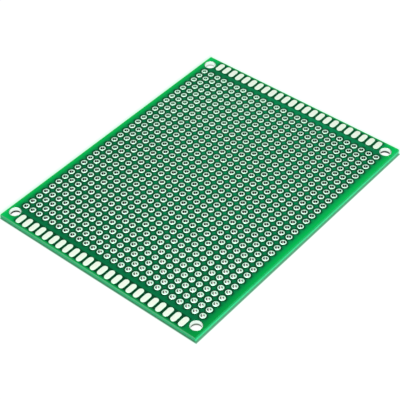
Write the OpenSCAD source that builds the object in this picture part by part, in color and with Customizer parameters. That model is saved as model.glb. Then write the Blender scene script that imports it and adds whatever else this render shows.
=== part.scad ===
// Double-sided prototype board: a drilled glass-epoxy sheet with a green mask on
// each face, plated eyelets on a square grid, long pads along both short ends and
// four plated mounting holes. The short side runs along X and the long along Y. The
// origin is the middle of the board, on the plane that it rests on.

/* [Board] */
// Length of the short side
board_w = 70; // [50:1:110]
// Length of the long side
board_l = 90; // [50:1:120]
// Thickness of the glass-epoxy sheet
laminate_t = 1.6; // [1.2:0.1:3.2]

/* [Scored edge] */
// Depth of the bevel that the scoring wheel leaves on each face
score_depth = 0.45; // [0.2:0.05:0.55]
// Width of that bevel, seen from above
score_width = 0.14; // [0.05:0.01:0.3]

/* [Hole grid] */
// Distance between neighbouring holes, both ways
pitch = 2.54; // [2.2:0.02:5.08]
// Bore of a plated hole
bore_d = 1; // [0.6:0.05:1.2]
// Thickness of the metal on the wall of a hole
plating_t = 0.05; // [0.02:0.01:0.08]
// Diameter of a round pad
pad_d = 1.85; // [1.6:0.05:2]
// Height of a pad above the laminate
pad_t = 0.07; // [0.05:0.01:0.1]
// Least distance from a long edge to the first column of holes
side_margin = 3; // [2:0.25:8]
// Least gap between the end pads and the first row of round pads
row_gap = 1.5; // [0.6:0.1:5]

/* [Pad rounding] */
// Width of the sloping shoulder round the outside of a pad
shoulder_w = 0.08; // [0.03:0.01:0.1]
// Height of that shoulder
shoulder_h = 0.03; // [0.01:0.005:0.04]
// Flare at each mouth of a plated hole
mouth_flare = 0.04; // [0.02:0.01:0.06]

/* [End pads] */
// Width of an end pad, along the short side
end_pad_w = 1.7; // [1:0.05:1.9]
// Length of an end pad, from the outside of one round end to the other
end_pad_l = 3.5; // [2.2:0.1:6]
// Gap between an end pad and the short edge of the board
end_pad_edge = 0.65; // [0.4:0.05:3]

/* [Mounting holes] */
// Bore of a mounting hole, inside its plating
mount_bore_d = 3.1; // [2.2:0.1:3.5]
// Width of the metal ring round that bore on each face
mount_ring_w = 0.15; // [0.1:0.05:0.25]
// Distance of a mounting hole's centre from the long edge
mount_inset_x = 2.5; // [2.5:0.1:6]
// Distance of a mounting hole's centre from the short edge
mount_inset_y = 3.35; // [2.5:0.05:8]
// Band round that ring which holds no pad
mount_keepout = 0.4; // [0.3:0.1:3]

/* [Solder mask] */
// Thickness of the mask on each face
mask_t = 0.04; // [0.02:0.01:0.05]
// Bare strip of laminate round each pad, inside the mask's opening
mask_gap = 0.1; // [0.02:0.01:0.12]

/* [Hidden] */
$fn = 24;

// The board rests on the thicker of pads and mask, and the sheet lies above that
laminate_z = max(pad_t, mask_t);
top_z = laminate_z + laminate_t;

mount_pad_d = mount_bore_d + 2 * mount_ring_w;
mount_x = board_w / 2 - mount_inset_x;
mount_y = board_l / 2 - mount_inset_y;

// The grid takes as many columns and rows as fit between the margins
end_pad_y = board_l / 2 - end_pad_edge - end_pad_l / 2;
end_margin = end_pad_edge + end_pad_l + row_gap + pad_d / 2;
columns = floor((board_w - 2 * side_margin) / pitch) + 1;
rows = floor((board_l - 2 * end_margin) / pitch) + 1;

function column_x(column) = (column - (columns + 1) / 2) * pitch;
function row_y(row) = (row - (rows + 1) / 2) * pitch;

// A pad is left out where it would come too near a mounting hole
mount_reach = mount_pad_d / 2 + mount_keepout;
function clear_of_mounts(x, y) =
    norm([mount_x - abs(x), mount_y - abs(y)]) >= mount_reach + pad_d / 2;
function columns_in_row(row) =
    [for (c = [1:columns]) if (clear_of_mounts(column_x(c), row_y(row))) column_x(c)];

end_pad_reach = mount_x - mount_reach - end_pad_w / 2;
end_pad_columns = [for (c = [1:columns]) if (abs(column_x(c)) <= end_pad_reach) column_x(c)];

function drill_d(bore) = bore + 2 * plating_t;
function mask_opening_d(pad) = pad + 2 * mask_gap;
function row_name(row) = str("eyelet_row_", row < 10 ? "0" : "", row);

// Places what is drawn at every eyelet of one row
module along_row(row) {
    for (x = columns_in_row(row)) translate([x, row_y(row)]) children();
}

// Places what is drawn at every end pad of one short end, -1 in front and 1 behind
module along_end(side) {
    for (x = end_pad_columns) translate([x, side * end_pad_y]) children();
}

// Places what is drawn at the four mounting holes
module at_mounts() {
    for (x = [-mount_x, mount_x], y = [-mount_y, mount_y]) translate([x, y]) children();
}

// Long pad with round ends, grown all round by margin
module end_pad_outline(margin = 0) {
    width = end_pad_w + 2 * margin;
    straight = end_pad_l - end_pad_w;
    square([width, straight], center = true);
    for (side = [-1, 1]) translate([0, side * straight / 2]) circle(d = width);
}

// Endless sheet along Y whose two long edges carry the scored bevels
module scored_sheet(width, length) {
    half = width / 2;
    spare = 2;
    rotate([90, 0, 0])
        linear_extrude(length + spare, center = true)
            polygon([
                [-half + score_width, 0],
                [half - score_width, 0],
                [half, score_depth],
                [half, laminate_t - score_depth],
                [half - score_width, laminate_t],
                [-half + score_width, laminate_t],
                [-half, laminate_t - score_depth],
                [-half, score_depth]
            ]);
}

// Sheet with every hole drilled, a little larger than the board
module drilled_panel() {
    spare = 1;
    linear_extrude(laminate_t)
        difference() {
            square([board_w + spare, board_l + spare], center = true);
            for (row = [1:rows]) along_row(row) circle(d = drill_d(bore_d));
            at_mounts() circle(d = drill_d(mount_bore_d));
        }
}

// Glass-epoxy sheet, broken out of its panel along the scored lines
module laminate() {
    color([0.36, 0.76, 0.50])
        translate([0, 0, laminate_z])
            intersection() {
                drilled_panel();
                scored_sheet(board_w, board_l);
                rotate([0, 0, 90]) scored_sheet(board_l, board_w);
            }
}

// Coat of green mask with an opening round each pad and each mounting hole
module mask_coat() {
    linear_extrude(mask_t)
        difference() {
            square([board_w - 2 * score_width, board_l - 2 * score_width], center = true);
            for (row = [1:rows]) along_row(row) circle(d = mask_opening_d(pad_d));
            for (side = [-1, 1]) along_end(side) end_pad_outline(mask_gap);
            at_mounts() circle(d = mask_opening_d(mount_pad_d));
        }
}

module top_mask() {
    color([0.03, 0.50, 0.27]) translate([0, 0, top_z]) mask_coat();
}

module bottom_mask() {
    color([0.03, 0.50, 0.27]) translate([0, 0, laminate_z - mask_t]) mask_coat();
}

// Plated hole: the metal lines the bore and spreads into a pad on each face. On a
// narrow pad the shoulder and the flare take a third of its width each.
module eyelet(bore, pad) {
    bore_r = bore / 2;
    drill_r = drill_d(bore) / 2;
    pad_r = pad / 2;
    shoulder = min(shoulder_w, (pad_r - bore_r) / 3);
    flare = min(mouth_flare, (pad_r - bore_r) / 3);
    low = laminate_z - pad_t;
    high = top_z + pad_t;
    rotate_extrude()
        polygon([
            [bore_r, low + flare],
            [bore_r + flare, low],
            [pad_r - shoulder, low],
            [pad_r, low + shoulder_h],
            [pad_r, laminate_z],
            [drill_r, laminate_z],
            [drill_r, top_z],
            [pad_r, top_z],
            [pad_r, high - shoulder_h],
            [pad_r - shoulder, high],
            [bore_r + flare, high],
            [bore_r, high - flare]
        ]);
}

module eyelet_row(row) {
    color([0.90, 0.93, 0.90]) along_row(row) eyelet(bore_d, pad_d);
}

module mounting_eyelets() {
    color([0.90, 0.93, 0.90]) at_mounts() eyelet(mount_bore_d, mount_pad_d);
}

// Long pad with round ends that stands on a face of the sheet, with the same sloping
// shoulder all round as the round pads have
module end_pad() {
    half = end_pad_w / 2;
    straight = end_pad_l - end_pad_w;
    slope = [[half, 0], [half, pad_t - shoulder_h], [half - shoulder_w, pad_t]];
    far_slope = [for (point = slope) [-point.x, point.y]];
    rotate([90, 0, 0])
        linear_extrude(straight, center = true)
            polygon(concat(slope, [far_slope[2], far_slope[1], far_slope[0]]));
    for (end = [-1, 1])
        translate([0, end * straight / 2])
            rotate_extrude() polygon(concat([[0, 0]], slope, [[0, pad_t]]));
}

// The long pads of one short end and one face, up 1 for the upper face, -1 for the lower
module end_pads(side, up) {
    color([0.94, 0.94, 0.90])
        translate([0, 0, up > 0 ? top_z : laminate_z])
            along_end(side) rotate([up > 0 ? 0 : 180, 0, 0]) end_pad();
}

module top_front_pads() {
    end_pads(-1, 1);
}

module top_rear_pads() {
    end_pads(1, 1);
}

module bottom_front_pads() {
    end_pads(-1, -1);
}

module bottom_rear_pads() {
    end_pads(1, -1);
}

laminate();
top_mask();
bottom_mask();
top_front_pads();
top_rear_pads();
bottom_front_pads();
bottom_rear_pads();
mounting_eyelets();
for (row = [1:rows]) eyelet_row(row);
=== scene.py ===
from math import cos, pi, radians, sin

import bmesh
import bpy
from mathutils import Matrix, Quaternion, Vector


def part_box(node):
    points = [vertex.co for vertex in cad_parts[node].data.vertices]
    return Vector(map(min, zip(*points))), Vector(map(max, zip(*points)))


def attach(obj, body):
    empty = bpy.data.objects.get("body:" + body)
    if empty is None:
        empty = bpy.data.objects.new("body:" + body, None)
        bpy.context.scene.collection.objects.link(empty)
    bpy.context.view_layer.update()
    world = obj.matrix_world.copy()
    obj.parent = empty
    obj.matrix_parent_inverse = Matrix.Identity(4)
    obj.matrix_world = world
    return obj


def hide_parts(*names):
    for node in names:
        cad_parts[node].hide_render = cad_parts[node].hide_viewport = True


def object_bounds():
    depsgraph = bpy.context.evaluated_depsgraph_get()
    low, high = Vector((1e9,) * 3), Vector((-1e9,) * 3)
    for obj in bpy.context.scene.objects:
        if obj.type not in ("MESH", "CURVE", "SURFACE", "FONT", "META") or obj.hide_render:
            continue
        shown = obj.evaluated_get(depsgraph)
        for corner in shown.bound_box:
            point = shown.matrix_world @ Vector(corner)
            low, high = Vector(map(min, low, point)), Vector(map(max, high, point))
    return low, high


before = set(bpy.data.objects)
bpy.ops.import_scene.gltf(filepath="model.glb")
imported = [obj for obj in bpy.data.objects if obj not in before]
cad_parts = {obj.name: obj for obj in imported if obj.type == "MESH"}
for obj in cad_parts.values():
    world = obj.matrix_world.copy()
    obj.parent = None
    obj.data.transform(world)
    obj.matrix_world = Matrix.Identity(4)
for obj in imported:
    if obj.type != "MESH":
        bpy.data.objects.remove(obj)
cad_low, cad_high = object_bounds()


# The table under the board: a plain white sheet, pure white to the camera and in the
# bright metal. The thin green line at the board's edges is a painted shadow, and the mint
# tint beside them is painted light; both are painted on it as the photograph shows them,
# with the tint wider on the left and behind.

MM = 0.001


class Shading:
    """The node tree of one material or world, filled by short calls."""

    def __init__(self, owner):
        owner.use_nodes = True
        self.tree = owner.node_tree
        self.tree.nodes.clear()

    def add(self, kind, inputs=(), **settings):
        """New node of a kind, with its settings and its inputs by name or number."""
        made = self.tree.nodes.new("ShaderNode" + kind)
        for name, value in settings.items():
            setattr(made, name, value)
        for socket, value in dict(inputs).items():
            if isinstance(value, bpy.types.NodeSocket):
                self.tree.links.new(value, made.inputs[socket])
            else:
                made.inputs[socket].default_value = value
        return made

    def place(self):
        """Object coordinates: places on the board, in metres."""
        return self.add("TexCoord").outputs["Object"]

    def axes(self, vector):
        """The X, Y and Z of a vector."""
        return tuple(self.add("SeparateXYZ", {0: vector}).outputs)

    def maths(self, operation, first, second=0.0, third=0.0):
        """Output of a Math node."""
        return self.add("Math", {0: first, 1: second, 2: third}, operation=operation).outputs[0]

    def times(self, first, second):
        """Product of two values."""
        return self.maths("MULTIPLY", first, second)

    def less(self, first, second):
        """The first value less the second."""
        return self.maths("SUBTRACT", first, second)

    def unsigned(self, value):
        """A value without its sign."""
        return self.maths("ABSOLUTE", value)

    def ramp(self, value, start, end, low=0.0, high=1.0, shape="SMOOTHSTEP"):
        """Value that goes from low to high as another goes from start to end."""
        return self.add("MapRange", {"Value": value, "From Min": start, "From Max": end,
                                     "To Min": low, "To Max": high},
                        interpolation_type=shape).outputs[0]

    def blend(self, factor, low, high):
        """Colour between low and high by factor."""
        mix = self.add("Mix", {"Factor": factor, 6: low, 7: high}, data_type="RGBA")
        return mix.outputs[2]

    def either(self, factor, first, second):
        """The first shader where factor is 0, and the second where it is 1."""
        return self.add("MixShader", {0: factor, 1: first, 2: second}).outputs[0]

    def surface(self, inputs):
        """Ends the tree in a Principled surface with these inputs."""
        made = self.add("BsdfPrincipled", inputs)
        self.add("OutputMaterial", {"Surface": made.outputs[0]})


def mesh_object(name, mesh):
    """Object made of a bmesh, with its outside faces out."""
    bmesh.ops.recalc_face_normals(mesh, faces=mesh.faces)
    data = bpy.data.meshes.new(name)
    mesh.to_mesh(data)
    mesh.free()
    made = bpy.data.objects.new(name, data)
    bpy.context.scene.collection.objects.link(made)
    return made


# Painted shadow: a green line along the board's foot. Painted light: mint beside the board.
line_inset_side = 0.05 * MM
line_inset_end = 0.35 * MM
shadow_line_fade = (0.35 * MM, 0.6 * MM)
near_mint_fade = (0.9 * MM, 0.4 * MM)
near_mint_share = 0.6
far_mint_fade = (2.8 * MM, 1.3 * MM)
shadow_line_colour = (0.0, 0.22, 0.09, 1)
painted_mint_light = (0.56, 0.85, 0.68, 1)
white_glow = (0.86, 0.86, 0.86, 1)
mirrored_white = (1, 1, 1, 1)
shadowed_grey = (0.2, 0.2, 0.2, 1)
paper_grey = (0.4, 0.4, 0.4, 1)
table_reach = 900 * MM


def table_glow(shading):
    """White, with a painted shadow line under the board's edges and painted mint light outside it."""
    x, y = shading.axes(shading.place())[:2]
    past_side = shading.less(shading.unsigned(x), cad_high.x - line_inset_side)
    past_end = shading.less(shading.unsigned(y), cad_high.y - line_inset_end)
    past_line = shading.maths("MAXIMUM", past_side, past_end)
    past_left_or_rear = shading.maths("MAXIMUM", shading.less(cad_low.x, x),
                                      shading.less(y, cad_high.y))
    near_mint = shading.ramp(past_line, *near_mint_fade, 0.0, near_mint_share)
    far_mint = shading.ramp(past_left_or_rear, *far_mint_fade)
    mint = shading.blend(shading.ramp(past_left_or_rear, 0.0, 0.5 * MM), near_mint, far_mint)
    mint = shading.times(mint, shading.ramp(past_line, -0.1 * MM, 0.0))
    glow = shading.blend(mint, white_glow, painted_mint_light)
    # Painted shadow: the dark green line along the board's foot
    off_line = shading.ramp(shading.unsigned(past_line), *shadow_line_fade)
    return shading.blend(off_line, shadow_line_colour, glow)


def table_white():
    """White to the camera and to bright metal, and pale paper to all other light."""
    material = bpy.data.materials.new("white_table")
    shading = Shading(material)
    path = shading.add("LightPath")
    glow = shading.add("Emission", {"Color": table_glow(shading), "Strength": 1.0}).outputs[0]
    shadowed = shading.add("BsdfDiffuse", {"Color": shadowed_grey}).outputs[0]
    seen = shading.add("AddShader", {0: shadowed, 1: glow}).outputs[0]
    mirrored = shading.add("Emission", {"Color": mirrored_white, "Strength": 1.0}).outputs[0]
    paper = shading.add("BsdfDiffuse", {"Color": paper_grey}).outputs[0]
    unseen = shading.either(path.outputs["Is Glossy Ray"], paper, mirrored)
    upper_face = shading.either(path.outputs["Is Camera Ray"], unseen, seen)
    clear = shading.add("BsdfTransparent").outputs[0]
    from_below = shading.add("NewGeometry").outputs["Backfacing"]
    shading.add("OutputMaterial", {"Surface": shading.either(from_below, upper_face, clear)})
    return material


sheet = bmesh.new()
bmesh.ops.create_grid(sheet, x_segments=1, y_segments=1, size=table_reach)
table = mesh_object("table", sheet)
table.data.materials.append(table_white())


# The camera stands where the photograph was taken from: over the board's front right
# corner, with a long lens and rolled by two degrees.

camera_aim = Vector((4.11 * MM, -6.53 * MM, cad_high.z))
camera_distance = 348.07 * MM
camera_azimuth = radians(41.617)
camera_elevation = radians(43.75)
camera_roll = radians(-2.048)
lens_mm = 113.95
sensor_mm = 36

away = Vector((sin(camera_azimuth) * cos(camera_elevation),
               -cos(camera_azimuth) * cos(camera_elevation),
               sin(camera_elevation)))
camera = bpy.data.objects.new("camera", bpy.data.cameras.new("camera"))
camera.data.lens = lens_mm
camera.data.sensor_width = sensor_mm
camera.data.clip_start = 0.01
camera.data.clip_end = 10
camera.rotation_mode = "QUATERNION"
camera.location = camera_aim + away * camera_distance
camera.rotation_quaternion = (-away).to_track_quat("-Z", "Y") @ Quaternion((0, 0, 1), camera_roll)
bpy.context.scene.collection.objects.link(camera)
bpy.context.scene.camera = camera
bpy.context.scene.view_settings.view_transform = "Standard"


# Plain soft studio light: an even fill from all round, a lamp overhead and a wide lamp
# low on the right. The room shows as white, and the bright metal mirrors it as white.

def studio_room(strength):
    """World of a given strength, which is 1 to the camera and to bright metal."""
    world = bpy.data.worlds.new("studio_room")
    shading = Shading(world)
    path = shading.add("LightPath")
    seen = shading.maths("MAXIMUM", path.outputs["Is Camera Ray"], path.outputs["Is Glossy Ray"])
    brightness = shading.maths("MAXIMUM", seen, strength)
    room = shading.add("Background", {"Color": (1, 1, 1, 1), "Strength": brightness})
    shading.add("OutputWorld", {"Surface": room.outputs[0]})
    bpy.context.scene.world = world


def soft_lamp(name, place, size, power):
    """Square lamp facing the middle of the board, its place and size in millimetres."""
    lamp = bpy.data.objects.new(name, bpy.data.lights.new(name, "AREA"))
    lamp.data.size = size * MM
    lamp.data.energy = power
    lamp.location = Vector(place) * MM
    lamp.rotation_mode = "QUATERNION"
    lamp.rotation_quaternion = (-lamp.location).to_track_quat("-Z", "Y")
    bpy.context.scene.collection.objects.link(lamp)


studio_room(strength=0.5)
soft_lamp("overhead_lamp", place=(-150, -45, 620), size=200, power=1.2)
soft_lamp("right_lamp", place=(550, -60, 260), size=500, power=2.6)


# The sheet of the board: layers of woven glass in pale green epoxy, scored on both
# faces, snapped out of its panel and drilled. Its body is the CAD solid, and its bevels
# carry painted light and shade, lighter or darker from side to side as the photograph
# shows them. Its faces carry painted shade, dark in the gaps round the pads.

ply_pitch = 0.19 * MM
turned_to_side = (-0.3, -0.8)
tilted_as_bevel = (0.1, 0.25)
level_as_face = 0.9
sheet_low, sheet_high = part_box("laminate")


def colour(red, green, blue):
    """Linear colour of a value read off a screen, 0 to 255."""
    linear = [((c / 255 + 0.055) / 1.055) ** 2.4 if c > 10 else c / 255 / 12.92
              for c in (red, green, blue)]
    return (*linear, 1)


def wave_scale(band_pitch):
    """Scale of a wave texture whose bands lie this far apart. They lie 0.314 apart at 1."""
    return 0.314 / band_pitch


def glass_epoxy():
    """Layered on the cut sides, with painted light and shade on the bevels and painted shade on the
    faces.
    """
    material = bpy.data.materials.new("glass_epoxy")
    shading = Shading(material)
    place = shading.place()
    normal_x, normal_y, normal_z = shading.axes(shading.add("NewGeometry").outputs["Normal"])
    plies = shading.add("TexWave", {"Vector": place, "Scale": wave_scale(ply_pitch),
                                    "Distortion": 1.5, "Detail": 2.0, "Detail Scale": 2.0},
                        wave_type="BANDS", bands_direction="Z").outputs["Fac"]
    fibres = shading.add("TexNoise", {"Vector": place, "Scale": 2500.0, "Detail": 4.0}).outputs["Fac"]
    cut = shading.blend(plies, colour(26, 212, 130), colour(60, 232, 154))
    cut = shading.blend(fibres, cut, colour(42, 222, 142))

    # Painted light and shade: bevels facing the front or the left are lighter, and the lower bevel
    # facing the front is darker.
    faces_front = shading.ramp(normal_y, *turned_to_side)
    faces_left = shading.ramp(normal_x, *turned_to_side)
    upper_bevel = shading.blend(faces_front, colour(0, 172, 94), colour(94, 216, 148))
    upper_bevel = shading.blend(faces_left, upper_bevel, colour(120, 240, 176))
    lower_bevel = shading.blend(faces_front, colour(46, 196, 126), colour(34, 98, 64))
    leans_up = shading.ramp(normal_z, *tilted_as_bevel)
    leans_down = shading.ramp(shading.less(0.0, normal_z), *tilted_as_bevel)
    skin = shading.blend(leans_up, cut, upper_bevel)
    skin = shading.blend(leans_down, skin, lower_bevel)
    # Painted shade: the faces, seen in the narrow gaps round the pads, are dark.
    on_face = shading.maths("GREATER_THAN", shading.unsigned(normal_z), level_as_face)
    skin = shading.blend(on_face, skin, colour(3, 38, 20))
    rough = shading.add("Bump", {"Height": fibres, "Strength": 0.4, "Distance": 0.03 * MM})
    shading.surface({"Base Color": skin, "Roughness": 0.55, "Specular IOR Level": 0.2,
                     "Normal": rough.outputs[0]})
    return material


def finish_node(name, material):
    """Gives a CAD node its material."""
    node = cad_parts[name]
    node.data.materials.clear()
    node.data.materials.append(material)


finish_node("laminate", glass_epoxy())


# The solder mask: a thin glossy green lacquer printed on both faces, open round each
# pad, with the glass cloth faintly showing through. It carries painted shade beside the
# pads, painted light along the border and at the corners, and painted light that falls
# off away from the middle of the field, as the photograph shows it.

row_nodes = sorted(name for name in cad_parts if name.startswith("eyelet_row_"))
row_boxes = [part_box(name) for name in row_nodes]
row_places = [(low.y + high.y) / 2 for low, high in row_boxes]
pitch = row_places[1] - row_places[0]
pad_radius = (row_boxes[0][1].y - row_boxes[0][0].y) / 2
grid_low = Vector((row_boxes[0][0].x + pad_radius, row_places[0]))
grid_high = Vector((row_boxes[0][1].x - pad_radius, row_places[-1]))
# Two level directions, fixed on the board: the side that the photograph was taken from,
# and at right angles to it
to_front_right = Vector((0.664, -0.748))
to_rear_right = Vector((0.748, 0.664))

# Painted shade round the round pads and in the strips between the long pads.
shade_round_hole = (1.5 * MM, 1.15 * MM)
shade_past_grid = (0.7 * pitch, 0.45 * pitch)
strip_from_end = (0.4 * MM, 0.9 * MM)
strip_to_grid = (4.6 * MM, 4.1 * MM)
strip_from_side = (4.3 * MM, 5.0 * MM)
strip_shade_fades = (0.0, 20 * MM)
rear_strip_share = 0.85

lit_field_middle = (5 * MM, 15 * MM, 0)
per_field_reach = (1 / (45 * MM), 1 / (60 * MM), 0)
field_light_falloff = (0.25, 1.0)
lit_from_side = (0.0, 2.8 * MM)
lit_from_end = (-0.5 * MM, 1.4 * MM)
corner_from_side = (5 * MM, 3.5 * MM)
corner_from_end = (4 * MM, 2.5 * MM)
corner_field_share = 0.45
front_right_dims = (25 * MM, 55 * MM)

yarn_pitch = 0.6 * MM
cloth_share = 0.12
noise_span = (0.3, 0.7)
lacquer_roughness = (0.22, 0.36)


def towards(shading, x, y, direction):
    """How far a place lies from the middle in a level direction."""
    return shading.maths("ADD", shading.times(x, direction.x), shading.times(y, direction.y))


def from_hole(shading, x, y):
    """Offsets along X and Y, and the distance, from the nearest hole of the grid."""
    offsets = [shading.maths("WRAP", shading.less(value, first), 0.5 * pitch, -0.5 * pitch)
               for value, first in ((x, grid_low.x), (y, grid_low.y))]
    squares = [shading.times(offset, offset) for offset in offsets]
    return (*offsets, shading.maths("SQRT", shading.maths("ADD", *squares)))


def painted_shade_lacquer(shading, x, y, from_side, from_end):
    """1 where the mask gets painted shade: round the round pads and between the long ones."""
    past_columns = shading.less(sheet_high.x - grid_high.x, from_side)
    past_rows = shading.less(sheet_high.y - grid_high.y, from_end)
    in_grid = shading.times(shading.ramp(past_columns, *shade_past_grid),
                            shading.ramp(past_rows, *shade_past_grid))
    beside_pad = shading.ramp(from_hole(shading, x, y)[2], *shade_round_hole)
    beside_pad = shading.times(beside_pad, in_grid)
    strip = shading.times(shading.ramp(from_end, *strip_from_end),
                          shading.ramp(from_end, *strip_to_grid))
    strip = shading.times(strip, shading.ramp(from_side, *strip_from_side))
    strip = shading.times(strip, shading.ramp(y, *strip_shade_fades, 1.0, rear_strip_share))
    return shading.maths("MAXIMUM", beside_pad, strip)


def lacquer_colour(shading, place):
    """Painted light over the field and the border, and painted shade beside the pads."""
    x, y = shading.axes(place)[:2]
    from_side = shading.less(sheet_high.x, shading.unsigned(x))
    from_end = shading.less(sheet_high.y, shading.unsigned(y))
    outward = shading.add("VectorMath", {0: place, 1: lit_field_middle}, operation="SUBTRACT").outputs[0]
    outward = shading.add("VectorMath", {0: outward, 1: per_field_reach}, operation="MULTIPLY")
    outward = shading.add("VectorMath", {0: outward.outputs[0]}, operation="LENGTH")
    # Painted light: the field is brightest near one point and deeper away from it.
    light_falloff = shading.ramp(outward.outputs["Value"], *field_light_falloff)
    field = shading.blend(light_falloff, colour(2, 131, 79), colour(2, 108, 62))

    # Painted light along the border and in the corners, and painted shade dimming the border towards
    # the front right corner.
    in_corner = shading.times(shading.ramp(from_side, *corner_from_side),
                              shading.ramp(from_end, *corner_from_end))
    border = shading.blend(in_corner, colour(0, 186, 80), colour(0, 198, 90))
    dimmed = shading.ramp(towards(shading, x, y, to_front_right), *front_right_dims)
    border = shading.blend(dimmed, border, colour(0, 152, 62))
    inward = shading.times(shading.ramp(from_side, *lit_from_side),
                           shading.ramp(from_end, *lit_from_end))
    corner_share = shading.ramp(in_corner, 0.0, 1.0, 1.0, corner_field_share, "LINEAR")
    lacquer = shading.blend(shading.times(inward, corner_share), border, field)
    # Painted shade beside the pads
    dark = painted_shade_lacquer(shading, x, y, from_side, from_end)
    return shading.blend(dark, lacquer, colour(0, 64, 34))


def solder_mask():
    """Green lacquer, with the colour and the ripple of the cloth under it."""
    material = bpy.data.materials.new("green_solder_mask")
    shading = Shading(material)
    place = shading.place()
    yarns = [shading.add("TexWave", {"Vector": place, "Scale": wave_scale(yarn_pitch),
                                     "Distortion": 0.6, "Detail": 1.0},
                         wave_type="BANDS", bands_direction=direction).outputs["Fac"]
             for direction in ("X", "Y")]
    cloth = shading.times(*yarns)
    lacquer = lacquer_colour(shading, place)
    lacquer = shading.blend(shading.times(cloth, cloth_share), lacquer, colour(10, 165, 95))
    flow = shading.add("TexNoise", {"Vector": place, "Scale": 350.0, "Detail": 3.0}).outputs["Fac"]
    height = shading.maths("MULTIPLY_ADD", flow, 0.6, cloth)
    ripple = shading.add("Bump", {"Height": height, "Strength": 0.15, "Distance": 0.01 * MM})
    gloss = shading.ramp(flow, *noise_span, *lacquer_roughness)
    shading.surface({"Base Color": lacquer, "Roughness": gloss, "Specular IOR Level": 0.025,
                     "Normal": ripple.outputs[0]})
    return material


green_lacquer = solder_mask()
finish_node("top_mask", green_lacquer)
finish_node("bottom_mask", green_lacquer)


# The eyelets: copper plated through each hole and out over both faces, then dipped in
# molten tin and blown level. Each bore carries a painted reflection, dark sides with a
# bright streak between them, and painted shade at its foot, all put on as the photograph
# shows them from its own place.

bore_radius = 0.5 * MM
plating = 0.05 * MM
mouth_drop = 0.035 * MM
crown_share = 0.66
crown_radius = bore_radius + crown_share * (pad_radius - bore_radius)
eyelet_steps = 12

# Sizes of the painted reflection in the bores, and of its dark sides where they reach the rings.
streak_shift = 0.06 * MM
streak_edge_in_bore = (0.08 * MM, 0.24 * MM)
streak_edge_on_ring = (0.16 * MM, 0.34 * MM)
streak_widens_by = 0.12 * MM
right_half = (-0.02 * MM, 0.04 * MM)
paler_towards_front = (0.0, -35 * MM)
paler_share = 0.3
ring_dark_reach = (1.4, 1.12)
ring_dark_grows = (-50 * MM, -10 * MM)
rear_ring_dark = 0.35
level_top_to_rim = (0.9995, 0.99)
tin_roughness_spread = 0.15

rear_part = (-5 * MM, -40 * MM)
front_part = (10 * MM, 40 * MM)
left_part = (-10 * MM, -50 * MM)
rear_to_front = (-40 * MM, 40 * MM)
middle_to_corners = (15 * MM, 45 * MM)


def beside_streak(shading, x, y):
    """Distance from the streak of the painted reflection in a bore, and the share of its dark sides
    kept.
    """
    offset_x, offset_y = from_hole(shading, x, y)[:2]
    beside = shading.less(towards(shading, offset_x, offset_y, to_rear_right), streak_shift)
    paler = shading.times(shading.ramp(beside, *right_half),
                          shading.ramp(y, *paler_towards_front))
    dark_share = shading.ramp(paler, 0.0, 1.0, 1.0, paler_share, "LINEAR")
    return shading.unsigned(beside), dark_share


def tinned_copper(name, tin, patch, metal, roughness, dark_round_bore=None, rim_reflection=None):
    """Bright tin in two tones, with a painted reflection on its rims and painted shade beside bores.
    """
    material = bpy.data.materials.new(name)
    shading = Shading(material)
    place = shading.place()
    patches = shading.add("TexNoise", {"Vector": place, "Scale": 900.0, "Detail": 3.0}).outputs["Fac"]
    skin = shading.blend(patches, tin, patch)
    if rim_reflection:
        # Painted reflection: the sloped rims get their own colour.
        normal_z = shading.axes(shading.add("NewGeometry").outputs["Normal"])[2]
        on_rim = shading.ramp(shading.unsigned(normal_z), *level_top_to_rim)
        skin = shading.blend(on_rim, skin, rim_reflection)
    if dark_round_bore:
        # Painted shade: the dark sides of each bore's painted reflection reach onto the ring.
        x, y = shading.axes(place)[:2]
        beside, dark_share = beside_streak(shading, x, y)
        reach, full = (share * dark_round_bore for share in ring_dark_reach)
        dark = shading.times(shading.ramp(from_hole(shading, x, y)[2], reach, full),
                             shading.ramp(beside, *streak_edge_on_ring))
        forward = towards(shading, x, y, to_front_right)
        grown = shading.ramp(forward, *ring_dark_grows, rear_ring_dark, 1.0)
        dark = shading.times(dark, shading.times(dark_share, grown))
        skin = shading.blend(dark, skin, colour(6, 14, 8))
    gloss = shading.ramp(patches, *noise_span, roughness, roughness + tin_roughness_spread)
    dimples = shading.add("Bump", {"Height": patches, "Strength": 0.2, "Distance": 0.01 * MM})
    shading.surface({"Base Color": skin, "Roughness": gloss, "Metallic": metal,
                     "Normal": dimples.outputs[0]})
    return material


def painted_bore_reflection(shading, x, y, skin):
    """The painted reflection in the small bores, a streak with dark sides, which varies over the
    board.
    """
    forward = towards(shading, x, y, to_front_right)
    right = towards(shading, x, y, to_rear_right)
    # Painted light: the bores turn mint at the rear and near white at the front and on the left.
    skin = shading.blend(shading.ramp(forward, *rear_part), skin, colour(218, 244, 226))
    in_front = shading.ramp(forward, *front_part)
    clearer = shading.maths("MAXIMUM", in_front, shading.ramp(right, *left_part))
    skin = shading.blend(clearer, skin, colour(252, 252, 248))
    # Painted reflection: the dark sides beside the streak.
    thin_dark = shading.blend(shading.ramp(forward, *rear_to_front), colour(106, 146, 118),
                              colour(108, 122, 106))
    from_middle = shading.ramp(shading.unsigned(forward), *middle_to_corners)
    dark = shading.blend(from_middle, colour(8, 16, 8), thin_dark)
    beside, dark_share = beside_streak(shading, x, y)
    beside = shading.less(beside, shading.times(in_front, streak_widens_by))
    off_streak = shading.ramp(beside, *streak_edge_in_bore)
    return shading.blend(shading.times(off_streak, dark_share), skin, dark)


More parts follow.
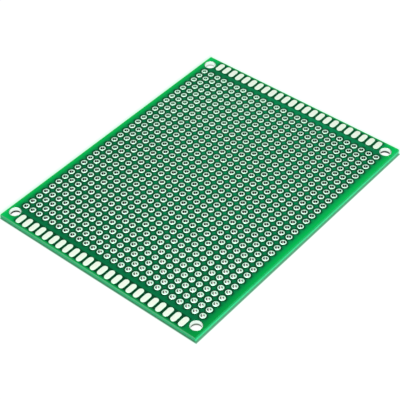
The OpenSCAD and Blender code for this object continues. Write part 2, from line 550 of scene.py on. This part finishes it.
def plated_barrel(name, dull, bright, dark_foot, with_painted_reflection=False):
    """Mirror-bright metal inside a bore, with painted shade up to the height of its foot."""
    material = bpy.data.materials.new(name)
    shading = Shading(material)
    place = shading.place()
    x, y, height = shading.axes(place)
    mottle = shading.add("TexNoise", {"Vector": place, "Scale": 1400.0, "Detail": 2.0}).outputs["Fac"]
    skin = shading.blend(mottle, dull, bright)
    if with_painted_reflection:
        skin = painted_bore_reflection(shading, x, y, skin)
    # Painted shade at the foot of the bore, varying over the board.
    forward = towards(shading, x, y, to_front_right)
    pale_foot = shading.blend(shading.ramp(forward, *rear_to_front), colour(190, 204, 194),
                              colour(112, 124, 112))
    from_middle = shading.ramp(shading.unsigned(forward), *middle_to_corners)
    foot = shading.blend(from_middle, colour(34, 54, 44), pale_foot)
    in_foot = shading.ramp(height, dark_foot, 0.5 * dark_foot)
    skin = shading.blend(in_foot, skin, foot)
    shading.surface({"Base Color": skin, "Roughness": 0.05, "Metallic": 1.0})
    return material


def eyelet_mesh(bore, pad, crown, steps):
    """One plated hole of given bore and pad radius round Z, its crowns at radius crown."""
    low, high = cad_low.z, cad_high.z
    outline = [(bore, low + mouth_drop), (crown, low), (pad, sheet_low.z),
               (bore + plating, sheet_low.z), (bore + plating, sheet_high.z),
               (pad, sheet_high.z), (crown, high), (bore, high - mouth_drop)]
    mesh = bmesh.new()
    points = [mesh.verts.new((radius, 0, height)) for radius, height in outline]
    sides = [mesh.edges.new(pair) for pair in zip(points, points[1:] + points[:1])]
    bmesh.ops.spin(mesh, geom=points + sides, cent=(0, 0, 0), axis=(0, 0, 1), angle=2 * pi,
                   steps=steps, use_merge=True)
    wall = bore + 0.5 * plating
    for face in mesh.faces:
        face.smooth = True
        face.material_index = int(all(point.co.xy.length < wall for point in face.verts))
    return mesh


def repeat(mesh, places):
    """Copies of what a bmesh holds, moved to each place, instead of the first."""
    first = list(mesh.verts) + list(mesh.edges) + list(mesh.faces)
    for place in places:
        copy = bmesh.ops.duplicate(mesh, geom=first)["geom"]
        moved = [part for part in copy if isinstance(part, bmesh.types.BMVert)]
        bmesh.ops.translate(mesh, verts=moved, vec=place)
    bmesh.ops.delete(mesh, geom=first, context="VERTS")


def stand_for(piece, node, materials):
    """Finishes a new piece and puts it in the place of a CAD node."""
    for material in materials:
        piece.data.materials.append(material)
    piece.data.set_sharp_from_angle(angle=radians(50))
    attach(piece, "root")
    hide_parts(node)


def evenly(low, high, count):
    """Values from low to high, both included."""
    return [low + (high - low) * n / (count - 1) for n in range(count)]


tinned_ring = tinned_copper("tinned_ring", colour(192, 254, 220), colour(222, 253, 234),
                            metal=0.55, roughness=0.3, dark_round_bore=bore_radius)
lead_hole_metal = plated_barrel("lead_hole_metal", colour(208, 212, 202), colour(232, 234, 226),
                                dark_foot=0.1 * MM, with_painted_reflection=True)
for name, (low, high), y in zip(row_nodes, row_boxes, row_places):
    first, last = low.x + pad_radius, high.x - pad_radius
    columns = round((last - first) / pitch) + 1
    mesh = eyelet_mesh(bore_radius, pad_radius, crown_radius, eyelet_steps)
    repeat(mesh, [(x, y, 0) for x in evenly(first, last, columns)])
    eyelets = mesh_object(name.replace("eyelet_row", "tinned_eyelets"), mesh)
    stand_for(eyelets, name, [tinned_ring, lead_hole_metal])


# The mounting holes in the four corners are plated in the same way, with a narrow ring
# on each face for the head of a screw or the end of a standoff.

mount_bore_radius = 1.55 * MM
mount_ring_radius = 1.7 * MM
mount_crown_radius = 0.5 * (mount_bore_radius + mount_ring_radius)
mount_steps = 48
mount_low, mount_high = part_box("mounting_eyelets")
mesh = eyelet_mesh(mount_bore_radius, mount_ring_radius, mount_crown_radius, mount_steps)
repeat(mesh, [(x, y, 0)
              for x in (mount_low.x + mount_ring_radius, mount_high.x - mount_ring_radius)
              for y in (mount_low.y + mount_ring_radius, mount_high.y - mount_ring_radius)])
mounting_eyelets = mesh_object("tinned_mounting_eyelets", mesh)
mount_ring_tin = tinned_copper("mount_ring_tin", colour(200, 252, 224), colour(224, 250, 234),
                               metal=0.5, roughness=0.3)
# Painted shade up to the foot height of each mounting bore.
mount_hole_metal = plated_barrel("mount_hole_metal", colour(224, 250, 234), colour(244, 254, 248),
                                 dark_foot=0.9 * MM)
stand_for(mounting_eyelets, "mounting_eyelets", [mount_ring_tin, mount_hole_metal])


# The long pads along both ends of both faces, for wires and edge clips: etched copper
# under a skin of tin that surface tension has pulled into a low dome.

long_pad_width = 1.7 * MM
round_end_steps = 8
wall_share = 0.4
dome_steps = ((0.06 * MM, 0.33), (0.12 * MM, 0.19), (0.25 * MM, 0.08))


def long_pad_mesh(width, length, height):
    """One long pad that stands on Z = 0 with its round ends along Y."""
    mesh = bmesh.new()
    straight = length - width
    start = mesh.verts.new((width / 2, straight / 2, 0))
    bmesh.ops.spin(mesh, geom=[start], cent=(0, straight / 2, 0), axis=(0, 0, 1), angle=pi,
                   steps=round_end_steps)
    bmesh.ops.mirror(mesh, geom=list(mesh.verts) + list(mesh.edges), axis="Y", merge_dist=-1)
    ends = [point for point in mesh.verts if len(point.link_edges) == 1]
    for side in (-1, 1):
        mesh.edges.new([point for point in ends if point.co.x * side > 0])
    bmesh.ops.contextual_create(mesh, geom=list(mesh.edges))
    lid = bmesh.ops.extrude_face_region(mesh, geom=list(mesh.faces))["geom"]
    raised = [part for part in lid if isinstance(part, bmesh.types.BMVert)]
    bmesh.ops.translate(mesh, verts=raised, vec=(0, 0, wall_share * height))
    bmesh.ops.recalc_face_normals(mesh, faces=mesh.faces)
    top = [part for part in lid if isinstance(part, bmesh.types.BMFace)]
    for inset, rise_share in dome_steps:
        bmesh.ops.inset_region(mesh, faces=top, thickness=inset, depth=rise_share * height)
    for face in mesh.faces:
        face.smooth = True
    return mesh


# The mint on the domes' sloped rims is a painted reflection.
long_pad_tin = tinned_copper("long_pad_tin", colour(238, 238, 226), colour(219, 237, 218),
                             metal=0.4, roughness=0.35, rim_reflection=colour(206, 255, 222))
for name in ("top_front_pads", "top_rear_pads", "bottom_front_pads", "bottom_rear_pads"):
    low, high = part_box(name)
    mesh = long_pad_mesh(long_pad_width, high.y - low.y, high.z - low.z)
    upper = name.startswith("top")
    if not upper:
        bmesh.ops.rotate(mesh, verts=mesh.verts, cent=(0, 0, 0), matrix=Matrix.Rotation(pi, 3, "X"))
    foot = low.z if upper else high.z
    first, last = low.x + long_pad_width / 2, high.x - long_pad_width / 2
    count = round((last - first) / pitch) + 1
    repeat(mesh, [(x, (low.y + high.y) / 2, foot) for x in evenly(first, last, count)])
    pads = mesh_object("domed_" + name, mesh)
    stand_for(pads, name, [long_pad_tin])
